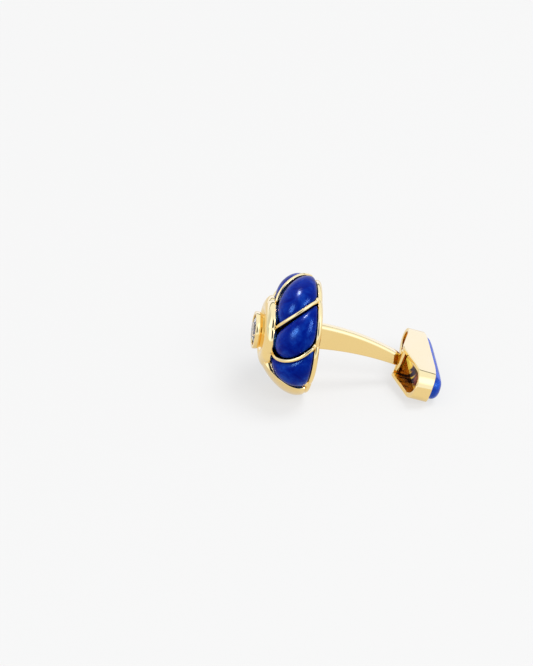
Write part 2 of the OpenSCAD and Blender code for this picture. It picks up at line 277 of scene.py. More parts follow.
def stone_grid(i, sizes, back=False):
    """A stone's outer skin, or its back against the frame."""
    rows, cols = sizes.stone_rows, sizes.stone_columns
    w = bunched(rows)[:, None] * np.ones(cols)
    u = bunched(cols)[None, :] * np.ones((rows, 1))
    span = STONE_ANGLES[1] - STONE_ANGLES[0]
    phi = STONE_ANGLES[0] + span * (w + 1) / 2
    ring_r, ring_z = sizes.ring_radius / MM, sizes.ring_height / MM
    out, forward = sizes.swell_out / MM, sizes.swell_forward / MM
    crest_r = ring_r + out * np.cos(np.radians(phi))
    # the borders run aslant, so the play beside a wire is wider round the head than across the wire
    turn = twist(phi + 0.5, sizes) - twist(phi - 0.5, sizes)
    slant = np.sqrt(1 + (crest_r / forward * turn) ** 2)
    play = np.degrees((sizes.wire / MM / 2 + sizes.stone_play / MM) * slant / crest_r)
    # the first stone has no wire on its low side and lies close to the gold lobe
    low = border(i, phi, sizes) + play * (FIRST_STONE_PLAY if i == 0 else 1)
    high = border(i + 1, phi, sizes) - play
    # the corners of a stone are rounded off, most of all the lower one at the plate
    length = math.radians(span) * (out + forward) / 2
    half_width = np.radians(high - low) * crest_r / 2
    corner = np.where((u < 0) & (w < 0), sizes.plate_corner, sizes.corner) / MM
    into = np.clip(1 - (1 - np.abs(w)) * length / 2 / corner, 0, 1)
    pull = 1 - corner / half_width * (1 - np.sqrt(1 - into**2))
    angle = (low + high) / 2 + (high - low) / 2 * u * pull
    if back:
        swell_out = swell_forward = CORE_R + BED_GAP
    else:
        share = pillow(u, w, sizes.edge_share)
        swell_out, swell_forward = out * share, forward * share
    r = ring_r + swell_out * np.cos(np.radians(phi))
    z = ring_z + swell_forward * np.sin(np.radians(phi))
    return on_circle(r, angle, z)


def stone_shape(i, sizes):
    """One twisted stone lobe."""
    shape = Shape()
    shape.plate_between(from_front(stone_grid(i, sizes)), from_front(stone_grid(i, sizes, back=True)))
    return shape


# Points along a wire and angles round it, the rounding of its ends, and its web: half its thickness, how far it
# reaches into the wire, and its gap to the frame
WIRE_STEPS = 90
WIRE_AROUND = np.radians(np.arange(0, 360, 15))
WIRE_TIP = np.radians([0, 25, 50, 72])
WEB_HALF, WEB_SINK, WEB_GAP = 0.15, 0.1, 0.03
# A wire's line is a little squarer than an oval
WIRE_POWER = 1.07


def wire_middle(i, phi, sizes):
    """Middle line of a wire between two stones."""
    c, s = np.cos(np.radians(phi)), np.sin(np.radians(phi))
    out, forward = np.sign(c) * np.abs(c) ** WIRE_POWER, np.sign(s) * np.abs(s) ** WIRE_POWER
    r = sizes.ring_radius / MM + sizes.wire_out / MM * out
    z = sizes.ring_height / MM + sizes.wire_forward / MM * forward
    return on_circle(r, border(i, phi, sizes), z)


def hoop(middle, across, out, radius):
    """Ring of points round a wire."""
    return middle + radius * (np.cos(WIRE_AROUND)[:, None] * across + np.sin(WIRE_AROUND)[:, None] * out)


def wire_shape(i, sizes):
    """A round wire with rounded ends, on a thin web that stands on the frame."""
    radius = sizes.wire / MM / 2
    phi = np.linspace(*WIRE_ANGLES, WIRE_STEPS)
    middle = wire_middle(i, phi, sizes)
    run = unit(wire_middle(i, phi + 0.5, sizes) - wire_middle(i, phi - 0.5, sizes))
    ring = on_circle(np.full(WIRE_STEPS, sizes.ring_radius / MM), border(i, phi, sizes), sizes.ring_height / MM)
    out = unit(middle - ring)
    across = unit(np.cross(run, out))

    def tip(k, t, ahead):
        return hoop(middle[k] + ahead * run[k] * radius * np.sin(t), across[k], out[k], radius * np.cos(t))

    rings = [tip(0, t, -1) for t in WIRE_TIP[::-1]]
    rings += [hoop(middle[k], across[k], out[k], radius) for k in range(1, WIRE_STEPS - 1)]
    rings += [tip(-1, t, 1) for t in WIRE_TIP]
    shape = Shape()
    shape.rings(from_front(np.array(rings)))
    foot = np.linalg.norm(middle - ring, axis=-1)[:, None] - CORE_R - WEB_GAP
    web = [middle + side * WEB_HALF * across - depth * out
           for side, depth in ((1, WEB_SINK), (-1, WEB_SINK), (-1, foot), (1, foot))]
    shape.rings(from_front(np.stack(web, 1)[::3]))
    return shape


# The gold lobe: its outer line is a curve of four points, as (radius, height), and its back follows the frame and
# the collar, at these distances from their middles and at these angles
GOLD_CURVE = np.array([(9.28, 0.95), (10.08, 3.3), (7.6, 6.2), (4.555, 7.925)])
GOLD_ON_CORE = (CORE_R + 0.11, (-20, 0, 22, 45, 68, 90))
GOLD_IN_COLLAR = (COLLAR_BAR_R - 0.03, (-22, -4, 14, 32, 50))
GOLD_ROWS, GOLD_COLUMNS = 80, 41
GOLD_PLAY = 0.05
# Where the foot starts to widen, and over how many degrees
FOOT_START, FOOT_SPAN = 35, 45
# How far the face falls at its borders
GOLD_CROWN = 0.12


def gold_lobe_shape(sizes):
    """One lobe of gold, that leaves the collar smoothly and falls to the plate."""
    t = np.linspace(0, 1, GOLD_ROWS)[:, None]
    a, b, c, d = GOLD_CURVE
    outer = (1 - t) ** 3 * a + 3 * (1 - t) ** 2 * t * b + 3 * (1 - t) * t * t * c + t**3 * d
    ring = (sizes.ring_radius / MM, sizes.ring_height / MM)
    back = np.concatenate([arc_at(ring, *GOLD_ON_CORE), arc_at(COLLAR_RING, *GOLD_IN_COLLAR)])
    step = np.linspace(0, len(back) - 1, GOLD_ROWS)
    inner = np.stack([np.interp(step, np.arange(len(back)), back[:, k]) for k in (0, 1)], -1)
    phi = np.minimum(COLLAR_ANGLE, np.degrees(np.arctan2(outer[:, 1] - ring[1], outer[:, 0] - ring[0])))
    thick = np.linalg.norm(inner - outer, axis=-1)
    inward = (inner - outer) / thick[:, None]
    low, high = border(SECTORS - 1, phi, sizes) - 360, border(0, phi, sizes)
    # columns across the face, with rounded edges: their shares of its half width, and how far they lie in
    half_width = np.radians(high - low) / 2 * outer[:, 0]
    rim = np.minimum(sizes.gold_edge / MM, thick / 3)
    turns = np.radians([90, 72, 54, 36, 18])
    edge = [(half_width - rim * (1 - np.sin(turn))) / half_width for turn in turns]
    edge_drop = [rim * (1 - np.cos(turn)) for turn in turns]
    face = [share * (half_width - rim) / half_width for share in np.linspace(-1, 1, GOLD_COLUMNS)]
    u = np.array([-share for share in edge] + face + edge[::-1]).T
    drop = np.array(edge_drop + [np.zeros(GOLD_ROWS)] * GOLD_COLUMNS + edge_drop[::-1]).T
    drop = drop + np.minimum(GOLD_CROWN, thick / 3)[:, None] * np.abs(u) ** 3
    play = np.degrees(GOLD_PLAY / outer[:, 0])
    low, high = (low + play)[:, None], (high - play)[:, None]
    angle = low + (high - low) * (u + 1) / 2
    r = outer[:, 0:1] + inward[:, 0:1] * drop
    z = outer[:, 1:2] + inward[:, 1:2] * drop
    # near the collar the lobe's foot is wider than its face, so that its near flank leans out
    widening = np.clip((phi - FOOT_START) / FOOT_SPAN, 0, 1)[:, None]
    foot = angle + GOLD_FOOT * (widening * np.maximum(u, 0) ** 2)
    whole = np.ones_like(u)
    shape = Shape()
    shape.plate_between(from_front(on_circle(r, angle, z)),
                        from_front(on_circle(inner[:, 0:1] * whole, foot, inner[:, 1:2] * whole)))
    return shape


# Collar, setting and the hollow ring under the stones: one turned piece

FRAME_BACK = 0.95
FRAME_INSIDE = [(4.1, 5.75), (4.1, 4.1), (5.0, 3.9), (6.2, 3.4), (6.65, 2.25), (6.65, FRAME_BACK)]
SETTING_GROOVE = [(3.1, 7.78), (2.86, 7.7), (2.66, 7.76), (2.56, 7.92), (2.56, 8.06), (2.64, 8.26), (2.76, 8.44),
                  (2.85, 8.64)]
SEAT = [(2.38, SEAT_Z), (1.6, 7.75), (1.6, 6.0), (1.6, 5.9)]
# The height over which the collar's edge is scalloped, the power of the scallops' curve, and its middle level
COLLAR_FROM = 6.1
# Under this height the frame is in painted shade
PAINTED_SHADE_BELOW = 6.05
SCALLOP_POWER, SCALLOP_LEVEL = 0.7, 0.75


def frame_profile(sizes):
    """Half section of the frame, as (radius, height) round a closed line."""
    ring = (sizes.ring_radius / MM, sizes.ring_height / MM)
    lip = (SETTING_R - SETTING_LIP, SETTING_Z - SETTING_LIP)
    wall = [(SETTING_R, z) for z in np.linspace(8.85, lip[1], 3)]
    return np.concatenate([
        [(6.95, FRAME_BACK)], arc(ring, CORE_R, -32, 96, 40), [(4.75, 4.75), (4.75, 6.0)],
        arc(COLLAR_RING, COLLAR_BAR_R, -42, 118, 60), SETTING_GROOVE, wall, arc(lip, SETTING_LIP, 10, 100, 8),
        arc((2.5, SETTING_Z - 0.12), 0.12, 90, 180, 6), SEAT, FRAME_INSIDE])


def frame_shape(sizes):
    """The frame, turned from its profile, with a collar that bulges over each stone."""
    radii, heights = frame_profile(sizes).T
    around = np.arange(0, 360, 1.5)
    # the bulges have a small cusp between them, at each wire
    ends = np.array([border(i, COLLAR_ANGLE, sizes) for i in range(SECTORS)])
    ends = np.sort(np.concatenate([ends - 360, ends, ends + 360]))
    sector = np.searchsorted(ends, around, side="right") - 1
    share = (around - ends[sector]) / (ends[sector + 1] - ends[sector])
    bulges = np.sin(math.pi * share) ** SCALLOP_POWER
    edge = (heights > COLLAR_FROM) & (radii > COLLAR_RING[0])
    reach = edge * np.clip((radii - COLLAR_RING[0]) / COLLAR_BAR_R, 0, 1) ** 2
    rings = []
    for degrees, bulge in zip(around, bulges):
        gain = (bulge - SCALLOP_LEVEL) * sizes.collar_scallop / MM + sizes.collar_gain / MM
        rings.append(on_circle(radii + gain * reach, np.full(len(radii), degrees), heights))
    shape = Shape()
    shape.band(from_front(np.array(rings)))
    return shape


# Plate, post and barrel: one soldered piece

# The post's top and foot are arcs: their radii, and their slopes at the plate
TOP_RADIUS, TOP_SLOPE = 38.0, 0.075
FOOT_RADIUS, FOOT_SLOPE = 45.0, -0.0445
# Where the post starts and ends to round in towards the barrel, and half its thickness there
POST_END = (13.0, 13.95, 0.4)
# Where the post has rings along the head's axis: from inside the plate to its rounded end
POST_STEPS = np.concatenate([[-0.3, 0.0], np.linspace(0.4, 12.9, 54), np.linspace(13.0, 14.05, 12)])
# How far the beads lie inside the plate's outline
BEAD_IN = 0.12
# The barrel's bevel, and its gap to the toggle's walls
BARREL_BEVEL, BARREL_GAP = 0.12, 0.03


def scallop_outline(degrees, inset, radius):
    """Distance from the middle to the plate's outline, moved in by an inset."""
    reach = np.zeros(len(degrees))
    out = radius - SCALLOP_R
    for k in range(SECTORS):
        d = np.radians(degrees - (SCALLOP_FIRST + 360 * k / SECTORS))
        root = (SCALLOP_R - inset) ** 2 - (out * np.sin(d)) ** 2
        reach = np.maximum(reach, out * np.cos(d) + np.sqrt(np.maximum(root, 0)))
    return reach


def plate_rings(sizes):
    """Rings of the scalloped plate, from the middle of its back round its edge to the middle of its front."""
    step = 360 / SECTORS
    within = (bunched(47) + 1) / 2
    degrees = np.concatenate([SCALLOP_FIRST + step * (k + 0.5 + within[:-1]) for k in range(SECTORS)])
    radius, thick = sizes.plate_radius / MM, sizes.plate_thickness / MM
    half = thick / 2
    flat = (4.5, 2.0, 1.0, 0.62)
    rings = [(inset, 0.0) for inset in flat]
    rings += [(half * (1 - math.cos(t)), half + half * math.sin(t)) for t in np.radians(np.linspace(-90, 90, 21))]
    rings += [(inset, thick) for inset in flat[::-1]]
    return np.array([on_circle(scallop_outline(degrees, inset, radius), degrees, z) for inset, z in rings])


def bead(middle, radius):
    """Rings of a small ball, a little flattened towards the plate."""
    return np.array([on_circle(radius * math.cos(t), np.arange(0, 360, 24), radius * 0.85 * math.sin(t)) + middle
                     for t in np.radians(np.linspace(-84, 84, 9))])


def edge_height(along, radius, slope, height):
    """Height of an edge of the post, which is an arc, at a distance along the head's axis."""
    tilt = math.atan(slope)
    middle = -radius * math.sin(tilt), height - radius * math.cos(tilt)
    return middle[1] + np.sqrt(radius**2 - (along - middle[0]) ** 2)


def rounded_section(half_y, low, high, r):
    """Corners of a rounded section of the post, as (y, z) points."""
    y, bottom, top = half_y - r, low + r, high - r
    corners = ((y, top), (-y, top), (-y, bottom), (y, bottom))
    return np.concatenate([arc(corner, r, 90 * k, 90 * k + 90, 7) for k, corner in enumerate(corners)])


def post_rings(sizes):
    """Rings along the arched post, which rounds in at the toggle."""
    start, stop, thin = POST_END
    end = np.clip((POST_STEPS - start) / (stop - start), 0, 1)
    half_y = thin + (sizes.post_thickness / MM / 2 - thin) * np.sqrt(1 - end**2)
    top = edge_height(POST_STEPS, TOP_RADIUS, TOP_SLOPE, sizes.post_top / MM)
    foot = edge_height(POST_STEPS, FOOT_RADIUS, FOOT_SLOPE, -sizes.post_foot / MM)
    rings = []
    for along, low, high, half in zip(POST_STEPS, foot, top, half_y):
        section = rounded_section(half, low, high, min(sizes.post_edge / MM, half * 0.7))
        rings.append(np.column_stack([np.full(len(section), along), section]))
    return np.array(rings)


def barrel_rings(sizes):
    """Rings of the barrel across the post's end, inside the toggle."""
    half = (sizes.toggle_height / 2 - sizes.toggle_wall) / MM - BARREL_GAP
    radius = sizes.barrel_radius / MM
    line = [(radius - BARREL_BEVEL, -half), (radius, -half + BARREL_BEVEL)]
    line += [(radius, z) for z in np.linspace(-1.5, 1.5, 7)]
    line += [(radius, half - BARREL_BEVEL), (radius - BARREL_BEVEL, half)]
    return np.array([on_circle(r, np.arange(0, 360, 5), z) + [PIN_DEPTH, 0, 0] for r, z in line])


def plate_and_post_shape(sizes):
    """The plate with a bead at each wire's end, the post and the barrel."""
    shape = Shape()
    shape.rings(from_front(plate_rings(sizes)))
    cusps = SCALLOP_FIRST + 360 / SECTORS * (np.arange(SECTORS) + 0.5)
    for degrees, reach in zip(cusps, scallop_outline(cusps, 0, sizes.plate_radius / MM)):
        middle = on_circle(reach - BEAD_IN, degrees, sizes.plate_thickness / MM)
        shape.rings(from_front(bead(middle, sizes.bead / MM / 2)))
    shape.rings(from_head(post_rings(sizes)))
    shape.rings(from_toggle(barrel_rings(sizes)))
    return shape


# The diamond: rings of corners of its table, crown, girdle and pavilion, each with its share of the radius, its
# height over the girdle's lower edge, its count and its first angle
DIAMOND_RINGS = ((0.58, 0.94, 8, 22.5), (0.81, 0.64, 8, 0), (1, 0.12, 32, 0), (1, 0, 32, 0))
# The pavilion's depth as a share of the diameter, and where its facets meet half way down
PAVILION, PAVILION_SHARE, PAVILION_R = 0.43, 0.6, 0.42
GIRDLE_GAP = 0.08
FACET_TURN = 1.2


def diamond_shape(sizes):
    """A brilliant, as the hull of its corners."""
    radius = sizes.diamond / MM / 2
    girdle = SEAT_Z + GIRDLE_GAP
    depth = PAVILION * 2 * radius
    rings = DIAMOND_RINGS + ((PAVILION_R, -PAVILION_SHARE * depth, 8, 0),)
    corners = [on_circle(share * radius, np.arange(count) * 360 / count + first, girdle + height)
               for share, height, count, first in rings]
    corners.append([[0, 0, girdle - depth]])
    bm = bmesh.new()
    for p in from_front(np.concatenate(corners)):
        bm.verts.new(p)
    bmesh.ops.convex_hull(bm, input=bm.verts)
    bmesh.ops.dissolve_limit(bm, angle_limit=math.radians(FACET_TURN), verts=bm.verts, edges=bm.edges)
    bm.verts.ensure_lookup_table()
    bm.verts.index_update()
    shape = Shape()
    shape.add([v.co[:] for v in bm.verts], [[v.index for v in f.verts] for f in bm.faces])
    bm.free()
    return shape


# The toggle

# Shares of a flat wall's half length where its outline has points, and the count of points round each end
WALL_STEPS = np.concatenate([[-1, -0.992], np.linspace(-0.95, -0.08, 12), [-0.041, 0, 0.041],
                             np.linspace(0.08, 0.95, 12), [0.992, 1]])
END_STEPS = 40
# How rounded a wall's peak is from the side, for the upper wall, and how much less for the lower one
PEAK_ROUND, PEAK_SHARPER = 0.7, 0.6
# How softly a wall's slope runs out into the level round end
SLOPE_END = 0.16
# How much nearer the post the lower wall stands, and its near end's share of the skew
LOW_WALL_NEARER, NEAR_END_SHARE = 0.25, 0.4
# The walls' edge round the stone: how far under the full depth it lies, and where and with which power it falls back
STONE_EDGE_IN, BOW_START, BOW_POWER = 0.06, 4.0, 1.6
# The dished floor: how far in from the walls, and how deep
FLOOR_RINGS = ((-0.05, 3.7), (-0.05, 2.75), (0.03, 2.85), (0.12, 2.98), (0.3, 3.14), (0.6, 3.3), (1.0, 3.42),
               (1.4, 3.48), (1.9, 3.5))


def racetrack(inset, sizes):
    """Round-ended outline of the toggle as (side, up), with the outward direction at each point."""
    half_h = sizes.toggle_height / MM / 2
    flat = sizes.toggle_length / MM / 2 - half_h
    turns = np.linspace(90, 270, END_STEPS + 2)[1:-1]
    reach = half_h - inset
    wall = np.stack([-WALL_STEPS * flat, np.full(len(WALL_STEPS), reach)], -1)
    half = np.concatenate([wall, arc((-flat, 0), reach, 90, 270, END_STEPS + 2)[1:-1]])
    outward = np.concatenate([[(0, 1)] * len(WALL_STEPS), arc_at((0, 0), 1, turns)])
    # the other half is the same, turned round
    return np.concatenate([half, -half]), np.concatenate([outward, -outward])


def wall_edges(y, z, sizes):
    """How far in the post's edge and the stone's edge of the toggle's wall lie, at distances from its middle and at
    heights. The lower wall's peak is sharper, stands nearer the post and is shifted to the near side."""
    half_h = sizes.toggle_height / MM / 2
    half = sizes.toggle_length / MM / 2
    depth, end = sizes.peak_depth / MM, (sizes.peak_depth - sizes.end_depth) / MM
    y = np.asarray(y, float)
    low = np.clip((1 - np.asarray(z, float) / half_h) / 2, 0, 1)
    skew = sizes.toggle_skew / MM
    away = np.sqrt((y + skew * low) ** 2 + (PEAK_ROUND - PEAK_SHARPER * low) ** 2)
    slope = end / (half - half_h)
    level = end + np.where(y > 0, NEAR_END_SHARE * skew * low, 0)
    post_edge = level - SLOPE_END * np.log1p(np.exp((level - slope * away) / SLOPE_END)) - LOW_WALL_NEARER * low
    bow = np.clip((np.abs(y) - BOW_START) / (half - BOW_START), 0, 1)
    return post_edge, depth - STONE_EDGE_IN - sizes.toggle_bow / MM * bow**BOW_POWER


def wall_section(low, high, wall, rim, r, r_out):
    """Section of the toggle's wall, as (outwards from its outer face, depth) round a closed line."""
    return np.concatenate([
        arc((-r_out, high - r_out), r_out, 0, 90, 8), arc((-wall + r_out, high - r_out), r_out, 90, 180, 8),
        [(-wall, 3.2), (-wall, 2.6)],
        arc((-rim + r, low + r), r, 180, 270, 8), arc((-r, low + r), r, 270, 360, 8)])


def toggle_shape(sizes):
    """The toggle's band with its peaked walls, and the dished floor inside it."""
    outline, outward = racetrack(0, sizes)
    wall, r, r_out = sizes.toggle_wall / MM, sizes.toggle_rim / MM, sizes.toggle_edge / MM
    post_edge, stone_edge = wall_edges(outline[:, 0], outline[:, 1], sizes)
    # the opening's rim is widest where the lower wall turns into the round ends
    rims = wall + sizes.toggle_rim_gain / MM * 2 * np.maximum(0, -outward[:, 1]) * np.abs(outward[:, 0])
    rings = []
    for place, facing, low, high, rim in zip(outline, outward, post_edge, stone_edge, rims):
        section = wall_section(low, high, wall, rim, r, r_out)
        rings.append(np.column_stack([section[:, 1], place + section[:, :1] * facing]))
    shape = Shape()
    shape.band(from_toggle(np.array(rings)))
    floor = []
    for inset, depth in FLOOR_RINGS:
        outline, _ = racetrack(wall + inset, sizes)
        floor.append(np.column_stack([np.full(len(outline), depth), outline]))
    shape.rings(from_toggle(np.array(floor)))
    return shape


def inside_toggle(place, sizes):
    """Whether a place in metres is on the inner side of the toggle's walls, clear of their rims."""
    depth, y, z = in_toggle(place)
    half_h = sizes.toggle_height / MM / 2
    flat = sizes.toggle_length / MM / 2 - half_h
    off_axis = math.hypot(max(0.0, abs(y) - flat), z)
    post_edge, _ = wall_edges(y, z, sizes)
    return off_axis < half_h - sizes.toggle_wall / MM + 0.02 and depth > post_edge + 0.12


def off_barrel(place, sizes):
    """Whether a place in metres is clear of the hinge barrel."""
    depth, y, _ = in_toggle(place)
    return math.hypot(depth - PIN_DEPTH, y) > sizes.barrel_radius / MM + 0.03


# The bar stone's back, and where its top starts to fall towards the ends
BAR_BACK = 3.73
DROOP_START = 3.5


def toggle_stone_shape(sizes):
    """The long domed bar of stone in the toggle."""
    top = sizes.peak_depth / MM + sizes.stone_rise / MM
    side = sizes.toggle_wall / MM + BED_GAP
    r = sizes.stone_round / MM
    half = sizes.toggle_length / MM / 2
    profile = [(0.1, BAR_BACK), (0, BAR_BACK + 0.1), (0, BAR_BACK + 0.5), (0, top - r)]
    profile += [(r * (1 - math.cos(t)), top - r + r * math.sin(t)) for t in np.radians(np.linspace(8, 90, 16))]
    # the last ring all but closes on the stone's middle line
    profile += [(r + 0.3, top), (sizes.toggle_height / MM / 2 - side - 0.003, top)]
    rings = []
    for inset, depth in profile:
        outline, _ = racetrack(side + inset, sizes)
        droop = np.clip((np.abs(outline[:, 0]) - DROOP_START) / (half - DROOP_START), 0, 1) ** 2
        share = np.clip((depth - BAR_BACK) / (top - BAR_BACK), 0, 1)
        rings.append(np.column_stack([depth - sizes.stone_droop / MM * droop * share, outline]))
    shape = Shape()
    shape.rings(from_toggle(np.array(rings)))
    return shape


# Materials


class Nodes:
    """Short names for building a node tree."""

    def __init__(self, tree):
        self.tree = tree

    def add(self, kind, **values):
        """A new node, with values of its properties."""
        node = self.tree.nodes.new(kind)
        for key, value in values.items():
            setattr(node, key, value)
        return node

    def link(self, a, b):
        """Links an output to an input."""
        self.tree.links.new(a, b)

    def give(self, socket, value):
        """Links a node's output to a socket, or sets a number or colour on it."""
        if hasattr(value, "is_linked"):
            self.link(value, socket)
        else:
            socket.default_value = value

    def math(self, operation, a, b):
        """One step of arithmetic."""
        node = self.add("ShaderNodeMath", operation=operation)
        self.give(node.inputs[0], a)
        self.give(node.inputs[1], b)
        return node.outputs[0]

    def dot(self, a, b):
        """Dot product of two vectors."""
        node = self.add("ShaderNodeVectorMath", operation="DOT_PRODUCT")
        self.give(node.inputs[0], a)
        self.give(node.inputs[1], b)
        return node.outputs["Value"]

    def place(self, kind="Object"):
        """Where a point is on the piece, or which way its surface faces."""
        return self.add("ShaderNodeTexCoord").outputs[kind]

    def clouds(self, vector, scale, detail=2.0, roughness=0.5, distortion=0.0):
        """Soft noise round a half."""
        node = self.add("ShaderNodeTexNoise")
        self.link(vector, node.inputs["Vector"])
        self.give(node.inputs["Scale"], scale)
        for key, value in (("Detail", detail), ("Roughness", roughness), ("Distortion", distortion)):
            node.inputs[key].default_value = value
        return node.outputs["Fac"]

    def map_range(self, source, from_min, from_max, to_min=0.0, to_max=1.0, **values):
        """Maps a range of values to another one, and stays within it."""
        node = self.add("ShaderNodeMapRange", **values)
        self.link(source, node.inputs["Value"])
        for key, value in (("From Min", from_min), ("From Max", from_max), ("To Min", to_min), ("To Max", to_max)):
            self.give(node.inputs[key], value)
        return node.outputs["Result"]

    def mix(self, factor, first, second):
        """Mixes two colours, each of them given by a node or as three numbers."""
        node = self.add("ShaderNodeMix", data_type="RGBA")
        self.link(factor, node.inputs["Factor"])
        for key, value in (("A", first), ("B", second)):
            self.give(node.inputs[key], value if hasattr(value, "is_linked") else (*value, 1))
        return node.outputs["Result"]


def new_group(name, inputs, outputs):
    """An empty node group with its sockets, as (name, kind, value), and its helper, input and output nodes."""
    group = bpy.data.node_groups.new(name, "ShaderNodeTree")
    for socket, kind, value in inputs:
        made = group.interface.new_socket(socket, in_out="INPUT", socket_type=kind)
        if value is not None:
            made.default_value = value
    for socket in outputs:
        group.interface.new_socket(socket, in_out="OUTPUT", socket_type="NodeSocketFloat")
    n = Nodes(group)
    return group, n, n.add("NodeGroupInput").outputs, n.add("NodeGroupOutput").inputs


def polish_group():
    """Fine polishing marks and faint handling wear: a roughness and a height."""
    if "polish marks" in bpy.data.node_groups:
        return bpy.data.node_groups["polish marks"]
    number = "NodeSocketFloat"
    group, n, given, out = new_group(
        "polish marks", (("Grain", number, 900.0), ("Smooth", number, 0.05), ("Worn", number, 0.14)),
        ("Roughness", "Height"))
    place = n.place()
    broad = n.clouds(place, given["Grain"], detail=5)
    fine = n.clouds(place, n.math("MULTIPLY", given["Grain"], 9.0))
    n.link(n.map_range(broad, 0.35, 0.75, given["Smooth"], given["Worn"]), out["Roughness"])
    n.link(fine, out["Height"])
    return group


def stone_group():
    """What lapis lazuli shows: broad clouds, darker veins and rare pale grains, each as a mask."""
    if "lapis clouds" in bpy.data.node_groups:
        return bpy.data.node_groups["lapis clouds"]
    group, n, given, out = new_group("lapis clouds", (("Scale", "NodeSocketFloat", 420.0),),
                                     ("Light", "Dark", "Vein", "Grain"))
    place = n.place()
    cloud = n.clouds(place, given["Scale"], detail=5, roughness=0.6, distortion=0.6)
    vein = n.clouds(place, n.math("MULTIPLY", given["Scale"], 2.6), detail=8)
    grains = n.add("ShaderNodeTexVoronoi")
    n.link(place, grains.inputs["Vector"])
    n.link(n.math("MULTIPLY", given["Scale"], 3.6), grains.inputs["Scale"])
    n.link(n.map_range(cloud, 0.5, 0.7), out["Light"])
    n.link(n.map_range(cloud, 0.5, 0.36), out["Dark"])
    n.link(n.map_range(vein, 0.6, 0.72, 0.0, 0.55), out["Vein"])
    n.link(n.map_range(grains.outputs["Distance"], 0.06, 0.02, 0.0, 0.5), out["Grain"])
    return group


def panel_group():
    """A soft-edged rectangle in a direction of the studio: 1 inside and 0 outside."""
    vector, number = "NodeSocketVector", "NodeSocketFloat"
    group, n, given, out = new_group(
        "soft panel",
        [(name, vector, None) for name in ("Direction", "Middle", "Side", "Top")]
        + [(name, number, None) for name in ("Half Width", "Half Height", "Softness")], ("Mask",))
    ahead = n.math("MAXIMUM", n.dot(given["Direction"], given["Middle"]), 1e-4)
    masks = []
    for name, half in (("Side", "Half Width"), ("Top", "Half Height")):
        slant = n.math("DIVIDE", n.dot(given["Direction"], given[name]), ahead)
        reach = n.math("DIVIDE", n.math("ABSOLUTE", slant, 0.0), given[half])
        masks.append(n.map_range(reach, n.math("ADD", 1.0, given["Softness"]),
                                 n.math("SUBTRACT", 1.0, given["Softness"]),
                                 interpolation_type="SMOOTHSTEP"))
    n.link(n.math("MULTIPLY", masks[0], masks[1]), out["Mask"])
    return group


def new_material(name):
    """A material with one shader, and the helper for its nodes."""
    material = bpy.data.materials.new(name)
    material.use_nodes = True
    material.node_tree.nodes.clear()
    n = Nodes(material.node_tree)
    shader = n.add("ShaderNodeBsdfPrincipled")
    n.link(shader.outputs[0], n.add("ShaderNodeOutputMaterial").inputs[0])
    return material, n, shader.inputs


def add_polish(n, shader, grain, smooth, worn, bump):
    """Puts the polishing marks on a shader's roughness and normal. The bump is their depth in metres."""
    marks = n.add("ShaderNodeGroup", node_tree=polish_group())
    for key, value in (("Grain", grain), ("Smooth", smooth), ("Worn", worn)):
        marks.inputs[key].default_value = value
    n.link(marks.outputs["Roughness"], shader["Roughness"])
    bumps = n.add("ShaderNodeBump")
    bumps.inputs["Strength"].default_value = 1.0
    bumps.inputs["Distance"].default_value = bump
    n.link(marks.outputs["Height"], bumps.inputs["Height"])
    n.link(bumps.outputs["Normal"], shader["Normal"])


def gold_material(looks):
    """Polished yellow gold, a little deeper in tone in broad clouds."""
    if "polished gold" in bpy.data.materials:
        return bpy.data.materials["polished gold"]
    material, n, shader = new_material("polished gold")
    shader["Metallic"].default_value = 1.0
    n.link(n.mix(n.clouds(n.place(), scale=260, detail=3), looks.gold, looks.gold_deep), shader["Base Color"])
    add_polish(n, shader, grain=500.0, smooth=looks.gold_roughness, worn=looks.gold_roughness * 2.2, bump=2.5e-7)
    return material


# Depths in the toggle, in metres, between which painted shade darkens the satin gold, and how ragged that edge is
PAINTED_SHADE_DEPTHS = (0.0027, 0.0032)
PAINTED_SHADE_RAGGED = 0.003


def inside_painted_material(looks):
    """Unpolished gold inside the toggle: satin amber near the opening, a painted reflection of the gold in itself,
    painted shade that is nearly black in the depth, and streaks.
    """
    if "satin gold" in bpy.data.materials:
        return bpy.data.materials["satin gold"]
    material, n, shader = new_material("satin gold")
    shader["Metallic"].default_value = 1.0
    place = n.place()
    depth = n.math("SUBTRACT", n.dot(place, TOGGLE_OUT), float(TOGGLE_MIDDLE @ TOGGLE_OUT) * MM)
    ragged = n.math("MULTIPLY", n.math("SUBTRACT", n.clouds(place, scale=420), 0.5), PAINTED_SHADE_RAGGED)
    # painted shade: the gold darkens deeper into the toggle
    painted_shade = n.map_range(n.math("ADD", depth, ragged), *PAINTED_SHADE_DEPTHS)
    stretch = n.add("ShaderNodeMapping")
    stretch.inputs["Scale"].default_value = (0.4, 1.0, 0.4)
    n.link(place, stretch.inputs["Vector"])
    streaks = n.map_range(n.clouds(stretch.outputs["Vector"], scale=700, detail=1), 0.56, 0.63)
    tone = n.mix(painted_shade, looks.inside, looks.inside_painted_shade)
    tone = n.mix(streaks, tone, [c * 0.08 for c in looks.inside_painted_shade])
    n.link(tone, shader["Base Color"])
    add_polish(n, shader, grain=800.0, smooth=0.22, worn=0.42, bump=1.2e-6)
    return material


def shade_bed_material(looks):
    """The dull, nearly black bed round the stones: painted shade in the gaps between the stones, the wires and the
    gold.
    """
    if "dark bed" in bpy.data.materials:
        return bpy.data.materials["dark bed"]
    material, n, shader = new_material("dark bed")
    shader["Specular IOR Level"].default_value = 0.03
    tone = n.mix(n.clouds(n.place(), scale=900, detail=4), looks.bed, [c * 0.4 for c in looks.bed])
    n.link(tone, shader["Base Color"])
    add_polish(n, shader, grain=700.0, smooth=0.5, worn=0.75, bump=1.5e-6)
    return material


# Colour of the pale grains in the stone
PALE_GRAIN = (0.12, 0.17, 0.4)


